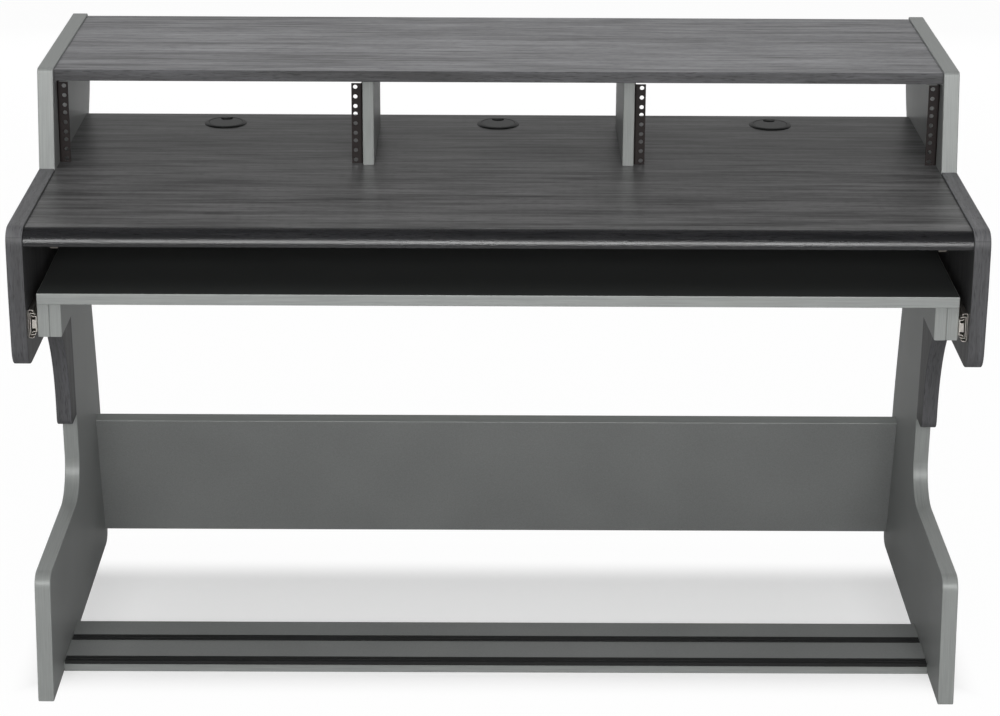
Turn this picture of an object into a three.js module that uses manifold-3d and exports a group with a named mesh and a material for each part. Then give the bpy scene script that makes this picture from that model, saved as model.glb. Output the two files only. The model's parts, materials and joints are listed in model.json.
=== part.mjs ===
import * as THREE from 'three';
import { mergeVertices } from 'three/addons/utils/BufferGeometryUtils.js';
import Module from 'manifold-3d';

// A studio desk with a row of rack bays over its desktop and a keyboard tray on telescopic slides under it.
// Millimetres: X across the desk, Y from its front to its back, Z up from the floor.

const wasm = await Module();
wasm.setup();

// Boards
const thickBoard = 25;
const thinBoard = 18;
const modestyBoard = 22;
const arris = 1;
const jointGap = 0.3;
const cutOverrun = 5;

// Widths: two rack bays for 19-inch equipment beside a narrower centre bay
const rackHoleSpacing = 465.1;
const railHoleInset = 11.7;
const centreBayWidth = 399;

// Heights
const deskHeight = 811;
const rackUnitHeight = 44.45;
const rackUnitCount = 3;
const bayTopGap = 6.65;
const rimStep = 4;

// Depths: setbacks run back from the front of the arms, insets from the edge that they name
const overallDepth = 747;
const uprightSetback = 327;
const uprightLean = 25;
const shelfInset = 7.5;
const shelfRearInset = 2;
const desktopRearInset = 60;
const dividerInset = 11.5;
const dividerDepth = 260;

// Side panel: foot, leg, waist and rack side in one board
const footHeight = 212;
const toeSetback = 80;
const toeLean = 18;
const toeRadius = 4;
const instepRadius = 24;
const footFilletRadius = 62;
const legSetback = 443;
const kneeSetback = 421.5;
const heelInset = 16.5;
const heelRadius = 30;
const hipInset = 48;
const waistInset = 117.5;
const panelCornerRadius = 6;
const panelRearRadius = 3;
const kneeHeightShare = 0.65;
const hipHeightShare = 0.32;
const waistHeightShare = 0.765;
const rearBendHeightShare = 0.925;
const frontSweepBulge = 13.5;
const frontSweepShares = [0.3, 0.44];
const rearSweepShares = [0.39, 0.54];
const hipSweepShares = [0.28, 0.69];
const hipEaseShare = 0.22;

// Arm: the woodgrain board in front of the side panel
const armDrop = 222;
const armNoseRadius = 28;
const armChinRadius = 34;
const armChinInset = 6;
const armBrowDrop = 95;
const lobeGap = 80;
const lobeWidth = 56;
const lobeCurveDepth = 174;
const lobeCornerRadius = 18;

// Front moulding of the desktop
const mouldingSetback = 5;
const mouldingUnderRadius = 3;

// Modesty panel and foot bar
const modestyInset = 58;
const modestyHeight = 240.6;
const modestyFloorGap = 31;
const modestyLean = THREE.MathUtils.degToRad(14.4);
const footBarSetback = 190;
const footBarDepth = 154;
const stripWidth = 17.5;
const stripHeight = 2;
const stripGroove = 0.9;
const stripRibCount = 3;
const rearStripSetback = 79.8;
const stripLip = 3.8;
const stripEndGap = 2;

// Rack rails: steel angle with the 19-inch hole pattern over three rack units
const railHeightAllowance = 0.85;
const railHolePitchShare = 5 / 14;
const railHoleRadius = 3.5;
const railHoleMargin = 2.8;
const railSheet = 2;
const railInset = 9.8;
const railScrewInset = 28;
const railScrewRadius = 1.9;
const railScrewLength = 14;
const railScrewHeadRadius = 4;
const railScrewHeadHeight = 2.2;
const screwClearance = 0.3;

// Cable grommets
const grommetInset = 59.5;
const grommetHoleRadius = 30;
const grommetFlangeWidth = 5.5;
const grommetFlangeHeight = 2.4;
const grommetCrownShares = [0.25, 0.7, 0.35];
const grommetTubeWall = 1.5;
const grommetTubeLength = 18;
const grommetLedgeWidth = 2.7;
const grommetLedgeHeight = 2;
const grommetClearance = 0.3;
const grommetCapThickness = 2.2;
const grommetCapSkirt = 5;
const grommetCapWall = 1.6;
const cableNotchWidth = 20;
const cableNotchDepth = 17;

// Keyboard tray and its cleats
const traySetback = 16;
const trayDepth = 400;
const keyboardClearance = 76;
const trayEdgeRadius = 2;
const trayEdgeInset = 1.5;
const cleatHeight = 54;
const cleatFrontInset = 9;
const cleatRearInset = 19;

// Telescopic slides: three rolled steel members with two ball cages between them
const slideLength = 400;
const slideHeight = 45;
const slideSheet = 1.2;
const slideInset = 3;
const slideBendRadius = 1.5;
const slideCrimpRadius = 0.9;
const slideWebGap = 1.25;
const slideInnerGap = 1.45;
const slideFaceGap = 1.5;
const ballRunningGap = 0.25;
const slideLipDegrees = 10;
const outerBallRadius = 1.75;
const innerBallRadius = 1.6;
const outerBallReach = 5.7;
const slideTabHeight = 14;
const cageSheet = 0.5;
const cageLength = 180;
const ballsPerRow = 5;

// Plates under the joint of the desktop and its moulding, and the connector caps of the side joints
const plateWidth = 12;
const plateLength = 60;
const plateThickness = 2.5;
const plateInset = 46;
const plateNoseInset = 3;
const connectorRadius = 8.5;
const connectorDepth = 3;
const connectorSetback = 34;
const connectorPlaceShares = [0.35, 0.85];

// Sizes and planes that several pieces share
const rackBayWidth = rackHoleSpacing + 2 * railHoleInset;
const railFlange = railHoleInset + railHoleRadius + railHoleMargin;
const railHolePitch = rackUnitHeight * railHolePitchShare;
const bayHeight = rackUnitHeight * rackUnitCount + bayTopGap;
const mouldingRadius = thickBoard - mouldingUnderRadius;
const grommetFlangeRadius = grommetHoleRadius + grommetFlangeWidth;
const outerRaceRadius = outerBallRadius + ballRunningGap + slideSheet / 2;
const innerRaceRadius = innerBallRadius + ballRunningGap + slideSheet / 2;
const innerBallReach = slideWebGap + slideInnerGap + 2.5 * slideSheet + innerRaceRadius;
const slideWidth = innerBallReach + innerRaceRadius + slideSheet / 2 + slideFaceGap;
const halfInside = centreBayWidth / 2 + thinBoard + rackBayWidth;
const frontY = -overallDepth / 2;
const rearY = overallDepth / 2;
const shelfBottomZ = deskHeight + bayHeight;
const shelfTopZ = shelfBottomZ + thinBoard;
const panelTopZ = shelfTopZ + rimStep;
const armTopZ = deskHeight + rimStep;
const deskBottomZ = deskHeight - thickBoard;
const desktopRearY = rearY - desktopRearInset;
const grommetY = desktopRearY - grommetInset;
const mouldingNoseY = frontY + mouldingSetback;
const mouldingJointY = mouldingNoseY + mouldingRadius;
const kneeY = frontY + kneeSetback;
const kneeZ = armTopZ * kneeHeightShare;
const legY = frontY + legSetback;
const ankleZ = footHeight + footFilletRadius;
const hipY = rearY - hipInset;
const hipZ = armTopZ * hipHeightShare;
const waistY = rearY - waistInset;
const waistZ = armTopZ * waistHeightShare;
const bendZ = panelTopZ * rearBendHeightShare;
const uprightFootY = frontY + uprightSetback;
const shelfY = uprightFootY + uprightLean + shelfInset;
const dividerY = shelfY + dividerInset;
const railY = dividerY + railInset;
const railHeight = rackUnitHeight * rackUnitCount - railHeightAllowance;
const railScrewY = railY + railSheet + (railFlange - railSheet) / 2;
const railScrewHeights = [deskHeight + railScrewInset, deskHeight + railHeight - railScrewInset];
const cleatOuterX = halfInside - slideWidth;
const trayHalfWidth = cleatOuterX - trayEdgeInset;
const trayY = frontY + traySetback;
const trayTopZ = deskBottomZ - keyboardClearance;
const cleatTopZ = trayTopZ - thinBoard;
const slideY = trayY + slideInset;
const slideZ = cleatTopZ - cleatHeight + slideHeight / 2;

// Finishes
const finishes = {
  greyLaminate: { color: 0x8d9090, roughness: 0.42, metalness: 0.1 },
  woodgrainLaminate: { color: 0x4c4a49, roughness: 0.55, metalness: 0 },
  powderCoat: { color: 0x262322, roughness: 0.6, metalness: 0.2 },
  zincSteel: { color: 0xc9c8c4, roughness: 0.35, metalness: 0.9 },
  ballSteel: { color: 0xb4b6b8, roughness: 0.2, metalness: 1 },
  blackPlastic: { color: 0x2c2f2e, roughness: 0.55, metalness: 0 },
  blackRubber: { color: 0x1e1f1f, roughness: 0.85, metalness: 0 },
};

const desk = new THREE.Group();
const sides = { left: -1, right: 1 };
const ends = [-1, 1];

function place(name, geometry, finish, parent = desk) {
  const mesh = new THREE.Mesh(geometry, new THREE.MeshStandardMaterial(finish));
  mesh.name = name;
  parent.add(mesh);
  return mesh;
}

function point(x, y) {
  return new THREE.Vector2(x, y);
}

// A closed solid for joining and cutting.
function solidOf(geometry) {
  const bare = geometry.clone();
  bare.deleteAttribute('normal');
  bare.deleteAttribute('uv');
  const merged = mergeVertices(bare);
  return new wasm.Manifold(new wasm.Mesh({
    numProp: 3,
    vertProperties: merged.attributes.position.array,
    triVerts: Uint32Array.from(merged.index.array),
  }));
}

function geometryOf(solid) {
  const mesh = solid.getMesh();
  const shared = new THREE.BufferGeometry();
  shared.setAttribute('position', new THREE.BufferAttribute(mesh.vertProperties, 3));
  shared.setIndex(new THREE.BufferAttribute(mesh.triVerts, 1));
  const geometry = shared.toNonIndexed();
  geometry.computeVertexNormals();
  return geometry;
}

// An outline drawn in Y and Z, made into a board that stands across X from lowX. Its arrises are
// eased where bevel is true.
function boardAcross(points, lowX, width, bevel) {
  const easing = bevel ? arris : 0;
  const geometry = new THREE.ExtrudeGeometry(new THREE.Shape(points), {
    depth: width - 2 * easing,
    bevelEnabled: bevel,
    bevelThickness: easing,
    bevelSize: easing,
    bevelOffset: -easing,
    bevelSegments: 1,
  });
  const turn = new THREE.Matrix4().set(0, 0, 1, lowX + easing, 1, 0, 0, 0, 0, 1, 0, 0, 0, 0, 0, 1);
  return geometry.applyMatrix4(turn);
}

// A shape drawn in X and Z, run forwards from backY.
function sectionAlongY(shape, backY, length, curveSegments) {
  const options = { depth: length, bevelEnabled: false, curveSegments };
  const geometry = new THREE.ExtrudeGeometry(shape, options);
  const turn = new THREE.Matrix4().set(1, 0, 0, 0, 0, 0, -1, backY, 0, 1, 0, 0, 0, 0, 0, 1);
  return geometry.applyMatrix4(turn);
}

function plateUp(shape, lowZ, height, curveSegments) {
  const options = { depth: height, bevelEnabled: false, curveSegments };
  return new THREE.ExtrudeGeometry(shape, options).translate(0, 0, lowZ);
}

function rectangle(lowX, highX, lowY, highY) {
  return [point(lowX, lowY), point(highX, lowY), point(highX, highY), point(lowX, highY)];
}

// A round corner between the edges that meet at the given point.
function roundCorner(before, corner, after, radius, steps) {
  const towardsBefore = before.clone().sub(corner).setLength(radius).add(corner);
  const towardsAfter = after.clone().sub(corner).setLength(radius).add(corner);
  return new THREE.QuadraticBezierCurve(towardsBefore, corner, towardsAfter).getPoints(steps);
}

// A convex outline with all its corners rounded alike.
function roundedOutline(corners, radius, steps) {
  return corners.flatMap((corner, index) => {
    const before = corners[(index + corners.length - 1) % corners.length];
    const after = corners[(index + 1) % corners.length];
    return roundCorner(before, corner, after, radius, steps);
  });
}

// A cylinder whose axis runs along X, from lowX.
function rodAcross(radius, length, lowX, y, z, segments) {
  const rod = new THREE.CylinderGeometry(radius, radius, length, segments);
  return rod.rotateZ(Math.PI / 2).translate(lowX + length / 2, y, z);
}

// A turned piece about Z from a closed section of radius and height.
function turned(section, segments) {
  const loop = [...section, section[0]];
  return new THREE.LatheGeometry(loop, segments).rotateX(Math.PI / 2);
}

// The front edge of the side panel under the arm's top: it sweeps back from the upright to the knee,
// then runs straight down the leg. The arm butts against the same line, shifted by the gap.
function frontSweep(shift = 0) {
  const drop = armTopZ - kneeZ;
  return new THREE.CubicBezierCurve(
    point(uprightFootY + shift, armTopZ),
    point(uprightFootY - frontSweepBulge + shift, armTopZ - drop * frontSweepShares[0]),
    point(kneeY + shift, armTopZ - drop * frontSweepShares[1]),
    point(kneeY + shift, kneeZ),
  );
}

function legFrontAt(z) {
  return THREE.MathUtils.mapLinear(z, kneeZ, ankleZ, kneeY, legY);
}

// The rear edge: down from the rack, in to the waist, out to the hip and on to the heel.
function rearSweep(steps) {
  const drop = bendZ - waistZ;
  return new THREE.CubicBezierCurve(
    point(waistY, waistZ),
    point(waistY, bendZ - drop * rearSweepShares[1]),
    point(rearY, bendZ - drop * rearSweepShares[0]),
    point(rearY, bendZ),
  ).getPoints(steps);
}

function hipSweep(steps) {
  const drop = waistZ - hipZ;
  return new THREE.CubicBezierCurve(
    point(hipY, hipZ),
    point(hipY - (hipY - waistY) * hipEaseShare, waistZ - drop * hipSweepShares[1]),
    point(waistY, waistZ - drop * hipSweepShares[0]),
    point(waistY, waistZ),
  ).getPoints(steps);
}

function sidePanelOutline() {
  const toe = point(frontY + toeSetback, 0);
  const heel = point(rearY - heelInset, 0);
  const hip = point(hipY, hipZ);
  const rearTop = point(rearY, panelTopZ);
  const frontTop = point(uprightFootY + uprightLean, panelTopZ);
  const uprightFoot = point(uprightFootY, armTopZ);
  const instep = point(toe.x + toeLean, footHeight);
  const fillet = new THREE.EllipseCurve(
    legY - footFilletRadius, ankleZ, footFilletRadius, footFilletRadius, 0, -Math.PI / 2, true);
  return [
    ...roundCorner(instep, toe, heel, toeRadius, 2),
    ...roundCorner(toe, heel, hip, heelRadius, 8),
    ...hipSweep(16).slice(0, -1),
    ...rearSweep(18),
    ...roundCorner(hip, rearTop, frontTop, panelRearRadius, 3),
    ...roundCorner(rearTop, frontTop, uprightFoot, panelCornerRadius, 3),
    ...frontSweep().getPoints(18),
    ...fillet.getPoints(12),
    ...roundCorner(fillet.getPoint(1), instep, toe, instepRadius, 8),
  ];
}

function armOutline() {
  const noseTop = point(frontY, armTopZ);
  const brow = point(frontY, armTopZ - armBrowDrop);
  const chin = point(frontY + armChinInset, armTopZ - armDrop);
  const lobeBottomZ = ankleZ + lobeGap;
  const jointFoot = point(legFrontAt(lobeBottomZ) - jointGap, lobeBottomZ);
  const lobeCorner = point(jointFoot.x - lobeWidth, lobeBottomZ);
  const curveStart = point(lobeCorner.x - lobeCurveDepth, chin.y);
  const lobeCurve = new THREE.EllipseCurve(
    curveStart.x, lobeBottomZ + lobeCornerRadius,
    lobeCurveDepth, chin.y - lobeBottomZ - lobeCornerRadius, Math.PI / 2, 0, true);
  return [
    ...frontSweep(-jointGap).getPoints(18).reverse(),
    ...roundCorner(point(uprightFootY, armTopZ), noseTop, brow, armNoseRadius, 9),
    brow,
    ...roundCorner(brow, chin, curveStart, armChinRadius, 9),
    ...lobeCurve.getPoints(18),
    ...roundCorner(point(lobeCorner.x, curveStart.y), lobeCorner, jointFoot, lobeCornerRadius, 7).slice(1),
    jointFoot,
  ];
}

// Blind holes in a board for the screws of a rail on it. The hole runs from faceX in the given direction.
function cutRailScrewHoles(solid, faceX, direction) {
  const length = railScrewLength + cutOverrun;
  const lowX = direction > 0 ? faceX - cutOverrun : faceX - railScrewLength;
  return railScrewHeights.reduce((board, z) => {
    const drill = rodAcross(railScrewRadius + screwClearance, length, lowX, railScrewY, z, 8);
    return board.subtract(solidOf(drill));
  }, solid);
}

// The connectors of the joint lie in front of it, in the inner face of the arm.
function connectorPlaces() {
  return connectorPlaceShares.map((share) => {
    const joint = frontSweep().getPoint(share);
    return { y: joint.x - connectorSetback, z: joint.y };
  });
}

function cutConnectorSeats(solid, side) {
  const depth = connectorDepth + screwClearance;
  const lowX = side > 0 ? halfInside - cutOverrun : -halfInside - depth;
  return connectorPlaces().reduce((board, { y, z }) => {
    const drill = rodAcross(connectorRadius + screwClearance, depth + cutOverrun, lowX, y, z, 16);
    return board.subtract(solidOf(drill));
  }, solid);
}

function addSides() {
  for (const [sideName, side] of Object.entries(sides)) {
    const lowX = side > 0 ? halfInside : -halfInside - thickBoard;
    const panel = solidOf(boardAcross(sidePanelOutline(), lowX, thickBoard, true));
    const drilled = cutRailScrewHoles(panel, side * halfInside, side);
    place(`side_panel_${sideName}`, geometryOf(drilled), finishes.greyLaminate);
    const arm = solidOf(boardAcross(armOutline(), lowX, thickBoard, true));
    place(`arm_panel_${sideName}`, geometryOf(cutConnectorSeats(arm, side)), finishes.woodgrainLaminate);
    const capLowX = side > 0 ? halfInside : -halfInside - connectorDepth;
    connectorPlaces().forEach(({ y, z }, index) => {
      const cap = rodAcross(connectorRadius, connectorDepth, capLowX, y, z, 16);
      place(`joint_connector_${sideName}_${index + 1}`, cap, finishes.zincSteel);
    });
  }
}

function grommetPlaces() {
  const offset = centreBayWidth / 2 + thinBoard + rackBayWidth / 2;
  return { left: -offset, centre: 0, right: offset };
}

function addDesktop() {
  const outline = new THREE.Shape(rectangle(-halfInside, halfInside, mouldingJointY, desktopRearY));
  for (const x of Object.values(grommetPlaces())) {
    const hole = new THREE.Path();
    hole.absarc(x, grommetY, grommetHoleRadius, 0, 2 * Math.PI, true);
    outline.holes.push(hole);
  }
  place('desktop', plateUp(outline, deskBottomZ, thickBoard, 18), finishes.woodgrainLaminate);

  const nose = new THREE.EllipseCurve(
    mouldingJointY, deskHeight - mouldingRadius, mouldingRadius, mouldingRadius, Math.PI / 2, Math.PI);
  const underCorner = roundCorner(
    point(mouldingNoseY, deskHeight - mouldingRadius), point(mouldingNoseY, deskBottomZ),
    point(mouldingJointY, deskBottomZ), mouldingUnderRadius, 3);
  const section = [...nose.getPoints(9), ...underCorner.slice(1), point(mouldingJointY, deskBottomZ)];
  const moulding = boardAcross(section, -halfInside, 2 * halfInside, false);
  place('front_edge_moulding', moulding, finishes.woodgrainLaminate);

  const plateLowY = mouldingNoseY + plateNoseInset;
  for (const [sideName, side] of Object.entries(sides)) {
    const plate = new THREE.BoxGeometry(plateWidth, plateLength, plateThickness);
    const plateX = side * (halfInside - plateInset);
    plate.translate(plateX, plateLowY + plateLength / 2, deskBottomZ - plateThickness / 2);
    place(`moulding_plate_${sideName}`, plate, finishes.zincSteel);
  }
}

function addRack() {
  const shelfSection = roundedOutline(
    rectangle(shelfY, rearY - shelfRearInset, shelfBottomZ, shelfTopZ), arris, 2);
  const shelf = boardAcross(shelfSection, -halfInside, 2 * halfInside, false);
  place('top_shelf', shelf, finishes.woodgrainLaminate);
  const dividerOutline = rectangle(dividerY, dividerY + dividerDepth, deskHeight, shelfBottomZ);
  for (const [sideName, side] of Object.entries(sides)) {
    const bayFaceX = side * (centreBayWidth / 2 + thinBoard);
    const lowX = side > 0 ? bayFaceX - thinBoard : bayFaceX;
    const divider = solidOf(boardAcross(dividerOutline, lowX, thinBoard, true));
    const drilled = cutRailScrewHoles(divider, bayFaceX, -side);
    place(`rack_divider_${sideName}`, geometryOf(drilled), finishes.greyLaminate);
    addRail(`${sideName}_outer`, side * halfInside, -side);
    addRail(`${sideName}_inner`, bayFaceX, side);
  }
}

// Heights of the nine holes of a rail over its lower end.
function railHoleHeights() {
  const unitHoles = [0, railHolePitch, 2 * railHolePitch];
  const first = (rackUnitHeight - 2 * railHolePitch) / 2 - railHeightAllowance / 2;
  const units = Array.from({ length: rackUnitCount }, (_, unit) => first + unit * rackUnitHeight);
  return units.flatMap((start) => unitHoles.map((height) => start + height));
}

// An angle rail whose side flange lies on the board at faceX and whose holed flange points into the bay.
function addRail(name, faceX, direction) {
  const holeX = faceX + direction * (rackBayWidth - rackHoleSpacing) / 2;
  const farX = faceX + direction * railFlange;
  const flange = new THREE.Shape(
    rectangle(Math.min(faceX, farX), Math.max(faceX, farX), deskHeight, deskHeight + railHeight));
  for (const height of railHoleHeights()) {
    const hole = new THREE.Path();
    hole.absarc(holeX, deskHeight + height, railHoleRadius, 0, 2 * Math.PI, true);
    flange.holes.push(hole);
  }
  const front = sectionAlongY(flange, railY + railSheet, railSheet, 6);
  const side = new THREE.BoxGeometry(railSheet, railFlange, railHeight);
  side.translate(faceX + direction * railSheet / 2, railY + railFlange / 2, deskHeight + railHeight / 2);
  let rail = solidOf(front).add(solidOf(side));
  const drillLength = railSheet + 2 * cutOverrun;
  const drillLowX = faceX + direction * railSheet / 2 - drillLength / 2;
  railScrewHeights.forEach((z, index) => {
    const drill = rodAcross(railScrewRadius + screwClearance, drillLength, drillLowX, railScrewY, z, 8);
    rail = rail.subtract(solidOf(drill));
    addRailScrew(`rail_screw_${name}_${index + 1}`, faceX, direction, z);
  });
  place(`rack_rail_${name}`, geometryOf(rail), finishes.powderCoat);
}

// A pan head on the side flange, with its shank through the flange into the board.
function addRailScrew(name, faceX, direction, z) {
  const headSeat = railSheet + railScrewHeadHeight;
  const profile = [
    point(0, -railScrewLength + screwClearance),
    point(railScrewRadius, -railScrewLength + screwClearance + railScrewRadius),
    point(railScrewRadius, railSheet),
    point(railScrewHeadRadius, railSheet),
    point(railScrewHeadRadius, (railSheet + headSeat) / 2),
    point(railScrewHeadRadius / 2, headSeat),
    point(0, headSeat),
  ];
  const screw = new THREE.LatheGeometry(profile, 8).rotateZ(-direction * Math.PI / 2);
  place(name, screw.translate(faceX, railScrewY, z), finishes.zincSteel);
}

// A leaning board between the legs, with its top towards the sitter.
function addModestyPanel() {
  const up = point(-Math.sin(modestyLean), Math.cos(modestyLean));
  const back = point(Math.cos(modestyLean), Math.sin(modestyLean));
  const foot = point(hipY - modestyInset, 0).addScaledVector(up, -modestyHeight);
  foot.y = modestyFloorGap;
  const corners = [
    foot,
    foot.clone().addScaledVector(back, modestyBoard),
    foot.clone().addScaledVector(back, modestyBoard).addScaledVector(up, modestyHeight),
    foot.clone().addScaledVector(up, modestyHeight),
  ];
  const section = roundedOutline(corners, arris, 1);
  place('modesty_panel', boardAcross(section, -halfInside, 2 * halfInside, false), finishes.greyLaminate);
}

// The top of a ribbed strip: raised ribs with flat grooves between them.
function ribbedTop(lowY, topZ) {
  const pitch = stripWidth / (2 * stripRibCount - 1);
  return Array.from({ length: stripRibCount }, (_, rib) => {
    const start = lowY + 2 * rib * pitch;
    const crest = [point(start, topZ), point(start + pitch, topZ)];
    const groove = [point(start + pitch, topZ - stripGroove), point(start + 2 * pitch, topZ - stripGroove)];
    return rib < stripRibCount - 1 ? [...crest, ...groove] : crest;
  }).flat();
}

function addFootBar() {
  const lowY = frontY + footBarSetback;
  const bar = roundedOutline(rectangle(lowY, lowY + footBarDepth, 0, thinBoard), arris, 1);
  place('foot_bar', boardAcross(bar, -halfInside, 2 * halfInside, false), finishes.greyLaminate);

  const stripLowX = -halfInside + stripEndGap;
  const stripLength = 2 * (halfInside - stripEndGap);
  const topZ = thinBoard + stripHeight;
  const rearLowY = lowY + rearStripSetback;
  const rearStrip = [
    ...ribbedTop(rearLowY, topZ), point(rearLowY + stripWidth, thinBoard), point(rearLowY, thinBoard)];
  place('foot_strip_rear', boardAcross(rearStrip, stripLowX, stripLength, false), finishes.blackRubber);
  const frontStrip = [
    ...ribbedTop(lowY, topZ),
    point(lowY + stripWidth, thinBoard),
    point(lowY, thinBoard),
    point(lowY, thinBoard - stripLip),
    point(lowY - stripHeight, thinBoard - stripLip),
    point(lowY - stripHeight, topZ),
  ];
  place('foot_strip_front', boardAcross(frontStrip, stripLowX, stripLength, false), finishes.blackRubber);
}

// The fixed part of a grommet, about its own axis with the desktop's face at zero.
function grommetLinerGeometry() {
  const outer = grommetHoleRadius - grommetClearance;
  const inner = outer - grommetTubeWall;
  const ledgeTop = -grommetClearance;
  const [edgeShare, shoulderShare, slopeShare] = grommetCrownShares;
  return turned([
    point(inner - grommetLedgeWidth, ledgeTop - grommetLedgeHeight),
    point(inner, ledgeTop - grommetLedgeHeight - grommetLedgeWidth / 2),
    point(inner, -grommetTubeLength),
    point(outer, -grommetTubeLength),
    point(outer, 0),
    point(grommetFlangeRadius, 0),
    point(grommetFlangeRadius, grommetFlangeHeight * edgeShare),
    point(grommetFlangeRadius - grommetFlangeWidth * slopeShare, grommetFlangeHeight * shoulderShare),
    point(outer, grommetFlangeHeight),
    point(inner, grommetFlangeHeight),
    point(inner, ledgeTop),
    point(inner - grommetLedgeWidth, ledgeTop),
  ], 32);
}

// The turning cap: a disc with a skirt, and a notch at its edge for the cables.
function grommetCapGeometry() {
  const bore = grommetHoleRadius - grommetClearance - grommetTubeWall;
  const discRadius = bore - grommetClearance;
  const skirtRadius = bore - grommetLedgeWidth - grommetClearance;
  const disc = new THREE.CylinderGeometry(discRadius, discRadius, grommetCapThickness, 32);
  disc.rotateX(Math.PI / 2).translate(0, 0, grommetCapThickness / 2);
  const skirt = turned([
    point(skirtRadius - grommetCapWall, -grommetCapSkirt),
    point(skirtRadius, -grommetCapSkirt),
    point(skirtRadius, grommetCapThickness / 2),
    point(skirtRadius - grommetCapWall, grommetCapThickness / 2),
  ], 32);
  const notchFloorY = discRadius - cableNotchDepth;
  const notch = new THREE.Shape();
  notch.moveTo(cableNotchWidth / 2, discRadius + cutOverrun);
  notch.lineTo(-cableNotchWidth / 2, discRadius + cutOverrun);
  notch.absarc(0, notchFloorY + cableNotchWidth / 2, cableNotchWidth / 2, Math.PI, 2 * Math.PI, false);
  const cutLow = -grommetCapSkirt - cutOverrun;
  const cutter = plateUp(notch, cutLow, grommetCapThickness + cutOverrun - cutLow, 5);
  return geometryOf(solidOf(disc).add(solidOf(skirt)).subtract(solidOf(cutter)));
}

function addGrommets() {
  for (const [bayName, x] of Object.entries(grommetPlaces())) {
    const seat = new THREE.Group();
    seat.position.set(x, grommetY, deskHeight);
    desk.add(seat);
    place(`grommet_liner_${bayName}`, grommetLinerGeometry(), finishes.blackPlastic, seat);
    place(`grommet_cap_${bayName}`, grommetCapGeometry(), finishes.blackPlastic, seat);
  }
}

function addTray() {
  const section = roundedOutline(
    rectangle(trayY, trayY + trayDepth, cleatTopZ, trayTopZ), trayEdgeRadius, 2);
  const board = boardAcross(section, -trayHalfWidth, 2 * trayHalfWidth, true);
  place('keyboard_tray', board, finishes.greyLaminate);
  const cleatRearY = trayY + trayDepth - cleatRearInset;
  const cleat = rectangle(trayY + cleatFrontInset, cleatRearY, cleatTopZ - cleatHeight, cleatTopZ);
  for (const [sideName, side] of Object.entries(sides)) {
    for (const [index, layer] of ['outer', 'inner'].entries()) {
      const farX = cleatOuterX - index * thinBoard;
      const board = boardAcross(cleat, side > 0 ? farX - thinBoard : -farX, thinBoard, true);
      place(`tray_cleat_${sideName}_${layer}`, board, finishes.greyLaminate);
    }
  }
}

// The outline of a bent sheet from the middle line of its section.
function sheetOutline(middle, thickness) {
  const runs = middle.slice(1).map((corner, index) => corner.clone().sub(middle[index]).normalize());
  const edge = (offset) => middle.map((corner, index) => {
    const before = runs[Math.max(index - 1, 0)];
    const after = runs[Math.min(index, runs.length - 1)];
    const along = before.clone().add(after).normalize();
    const reach = offset / along.dot(before);
    return point(corner.x - along.y * reach, corner.y + along.x * reach);
  });
  return [...edge(-thickness / 2), ...edge(thickness / 2).reverse()];
}

function arc(centre, radius, fromDegrees, toDegrees, steps) {
  const from = THREE.MathUtils.degToRad(fromDegrees);
  const to = THREE.MathUtils.degToRad(toDegrees);
  const clockwise = toDegrees < fromDegrees;
  return new THREE.EllipseCurve(centre.x, centre.y, radius, radius, from, to, clockwise).getPoints(steps);
}

function mirroredDown(half) {
  return half.map(({ x, y }) => point(x, -y)).reverse();
}

// Middle lines of the three members, upper half, from the web outwards. The first number is the reach
// from the side panel, the second the height over the slide's axis.
const outerBallCentre = point(outerBallReach, slideHeight / 2 - slideSheet / 2 - outerRaceRadius);
const innerBallCentre = point(innerBallReach, outerBallCentre.y - outerRaceRadius - innerRaceRadius);

function outerMember() {
  const webX = slideSheet / 2;
  const bend = point(webX + slideBendRadius, slideHeight / 2 - slideSheet / 2 - slideBendRadius);
  return [
    ...arc(bend, slideBendRadius, 180, 90, 2),
    ...arc(outerBallCentre, outerRaceRadius, 90, slideLipDegrees, 4),
  ];
}

function middleMember() {
  const webX = slideSheet + slideWebGap + slideSheet / 2;
  const crimp = point(webX + slideCrimpRadius, 0);
  const reach = (outerBallCentre.x - crimp.x) / (outerRaceRadius + slideCrimpRadius);
  const tangent = Math.acos(-reach);
  crimp.y = outerBallCentre.y - Math.sin(tangent) * (outerRaceRadius + slideCrimpRadius);
  const tangentDegrees = THREE.MathUtils.radToDeg(tangent);
  return [
    ...arc(crimp, slideCrimpRadius, 180, 180 - tangentDegrees, 3),
    ...arc(outerBallCentre, outerRaceRadius, 360 - tangentDegrees, 270, 2).slice(1),
    ...arc(innerBallCentre, innerRaceRadius, 90, slideLipDegrees, 4),
  ];
}

function innerMember() {
  const webX = slideWidth - slideSheet / 2;
  return [
    point(webX, innerBallCentre.y - innerRaceRadius),
    ...arc(innerBallCentre, innerRaceRadius, 270, 180 + slideLipDegrees, 4),
  ];
}

// The front end of the inner member is closed by a tab, bent in from its web between the rows of balls.
function withEndTab(member, side) {
  const reach = innerBallCentre.x - innerRaceRadius;
  const tabWidth = slideWidth - slideSheet / 2 - reach;
  const tab = new THREE.BoxGeometry(tabWidth, slideSheet, slideTabHeight);
  tab.translate(side * (halfInside - reach - tabWidth / 2), slideY + slideSheet / 2, slideZ);
  return geometryOf(solidOf(member).add(solidOf(tab)));
}

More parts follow.
